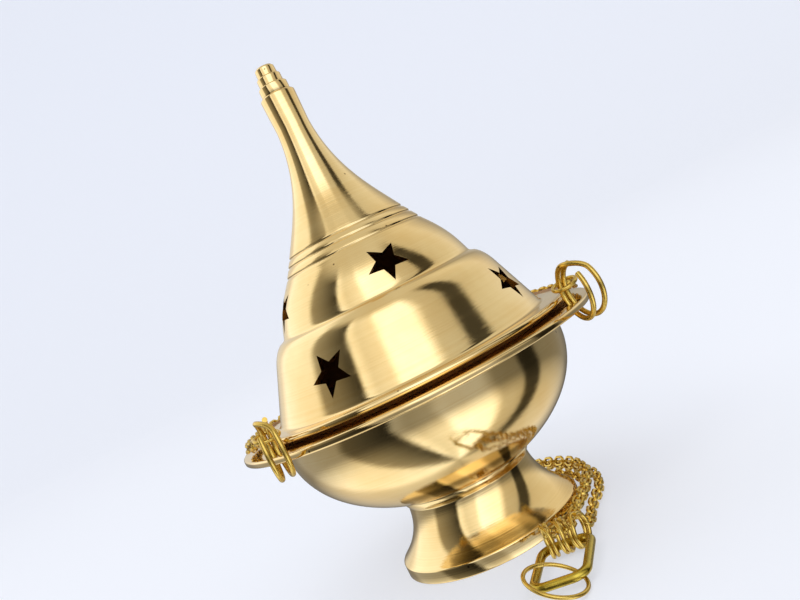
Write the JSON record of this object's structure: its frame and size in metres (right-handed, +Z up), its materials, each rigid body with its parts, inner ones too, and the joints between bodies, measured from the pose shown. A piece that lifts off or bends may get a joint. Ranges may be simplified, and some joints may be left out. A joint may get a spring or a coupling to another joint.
{
  "type": "thurible censer",
  "caption": "Small hanging censer in turned brass: footed bowl, tall pierced lid that lifts off, and three chains on split rings that meet at an oval hanging ring.",
  "frame": {"origin": "centre of the foot's underside, on the surface it stands on", "axes": "+Z up along the axis of turning; -Y is the front, with one rim ring at the back and two at the front left and right; +X to the right seen from the front"},
  "size_m": [0.093, 0.1164, 0.1282],
  "materials": {
    "polished_brass": "turned on a lathe, polished and lacquered",
    "brass_wire": "drawn wire, satin",
    "cast_brass": "cast and tumbled",
    "screw_brass": "machined, dull"
  },
  "bodies": {
    "stand": {"bowl": "polished_brass", "foot": "polished_brass", "foot_screw": "screw_brass", "foot_washer": "screw_brass", "foot_nut": "screw_brass", "left_end_link": "brass_wire", "right_end_link": "brass_wire", "back_end_link": "brass_wire", "left_chain": "brass_wire", "right_chain": "brass_wire", "back_chain": "brass_wire", "left_top_ring": "brass_wire", "right_top_ring": "brass_wire", "back_top_ring": "brass_wire"},
    "cover": {"lid": "polished_brass", "tip_plug": "polished_brass"},
    "left_ring": {"left_rim_ring": "brass_wire"},
    "right_ring": {"right_rim_ring": "brass_wire"},
    "back_ring": {"back_rim_ring": "brass_wire"},
    "hanger": {"hanging_ring": "cast_brass", "carry_ring": "brass_wire"}
  },
  "joints": [
    {"name": "lid_lift", "type": "slide", "parent": "stand", "child": "cover", "axis": [0, 0, 1], "range_m": [0, 0.06]},
    {"name": "left_ring_swivel", "type": "hinge", "parent": "stand", "child": "left_ring", "pos_m": [-0.03467, -0.02709, 0.0442], "axis": [0, 0, 1], "range_deg": [-110, 6]},
    {"name": "right_ring_swivel", "type": "hinge", "parent": "stand", "child": "right_ring", "pos_m": [0.03848, -0.02133, 0.0442], "axis": [0, 0, 1], "range_deg": [-20, 90]},
    {"name": "back_ring_swivel", "type": "hinge", "parent": "stand", "child": "back_ring", "pos_m": [-0.00077, 0.04399, 0.0442], "axis": [0, 0, 1], "range_deg": [-45, 30]},
    {"name": "hanging_ring_lift", "type": "hinge", "parent": "stand", "child": "hanger", "pos_m": [0.0125, -0.0355, 0.0024], "axis": [-0.9397, 0.342, 0], "range_deg": [0, 90]}
  ]
}
